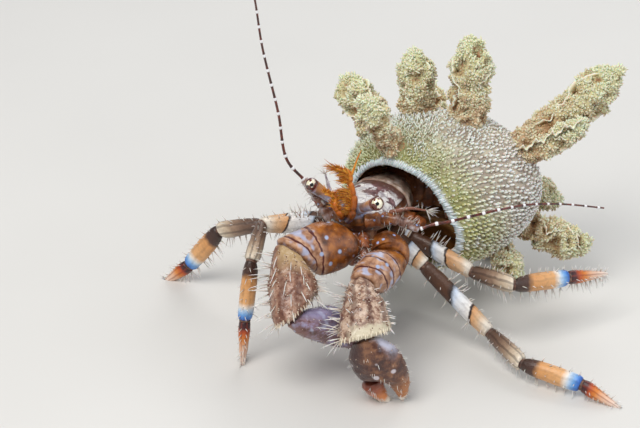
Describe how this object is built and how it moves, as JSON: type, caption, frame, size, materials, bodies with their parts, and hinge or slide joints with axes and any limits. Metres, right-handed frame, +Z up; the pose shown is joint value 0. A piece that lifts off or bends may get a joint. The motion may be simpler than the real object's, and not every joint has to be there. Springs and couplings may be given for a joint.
{
  "type": "hermit crab",
  "caption": "Life-size still hermit crab in a domed, branching hydroid colony, standing on its legs and claw with an antenna raised.",
  "frame": {"origin": "the middle of the bounding box's footprint, on the floor that the feet stand on", "axes": "+X to the crab's left hand side and the viewer's right, +Y away from the viewer into the colony, +Z up"},
  "size_m": [0.0484, 0.04, 0.0441],
  "materials": {
    "colony": "matt, chalky, covered in small spines",
    "plate": "satin, pale with brown network",
    "soft_skin": "satin, moist",
    "claw": "satin, granular",
    "leg": "satin, banded",
    "eyestalk": "satin",
    "eye": "wet gloss, spotted",
    "antennule": "satin, translucent",
    "antenna": "satin, ringed with white"
  },
  "bodies": {
    "root": {"colony_dome": "colony", "colony_arm_front_left": "colony", "colony_arm_back_left": "colony", "colony_arm_top_left": "colony", "colony_arm_top": "colony", "colony_arm_right": "colony", "colony_arm_right_back": "colony", "colony_arm_low_right": "colony", "colony_arm_under": "colony", "colony_arm_foot_left": "colony", "colony_arm_foot_right": "colony", "colony_arm_back": "colony", "shield": "plate", "trunk_underside": "soft_skin", "carapace_rear": "plate", "abdomen": "soft_skin", "eye_right": "eye", "eyestalk_right": "eyestalk", "antennule_right": "antennule", "antenna_base_right": "antennule", "antenna_right": "antenna", "eye_left": "eye", "eyestalk_left": "eyestalk", "antennule_left": "antennule", "antenna_base_left": "antennule", "antenna_left": "antenna", "maxilliped_right": "soft_skin", "maxilliped_left": "soft_skin", "leg_2_right_base": "leg", "leg_2_right_merus": "leg", "leg_2_right_carpus": "leg", "leg_2_right_propodus": "leg", "leg_2_right_dactyl": "leg", "leg_3_right_base": "leg", "leg_3_right_merus": "leg", "leg_3_right_carpus": "leg", "leg_3_right_propodus": "leg", "leg_3_right_dactyl": "leg", "leg_2_left_base": "leg", "leg_2_left_merus": "leg", "leg_2_left_carpus": "leg", "leg_2_left_propodus": "leg", "leg_2_left_dactyl": "leg", "leg_3_left_base": "leg", "leg_3_left_merus": "leg", "leg_3_left_carpus": "leg", "leg_3_left_propodus": "leg", "leg_3_left_dactyl": "leg", "claw_right_base": "claw", "claw_right_merus": "claw", "claw_right_carpus": "claw", "claw_right_palm": "claw", "claw_right_finger": "claw", "claw_left_base": "claw", "claw_left_merus": "claw", "claw_left_carpus": "claw", "claw_left_palm": "claw", "claw_left_finger": "claw", "leg_4_right": "leg", "leg_4_left": "leg"}
  },
  "joints": []
}
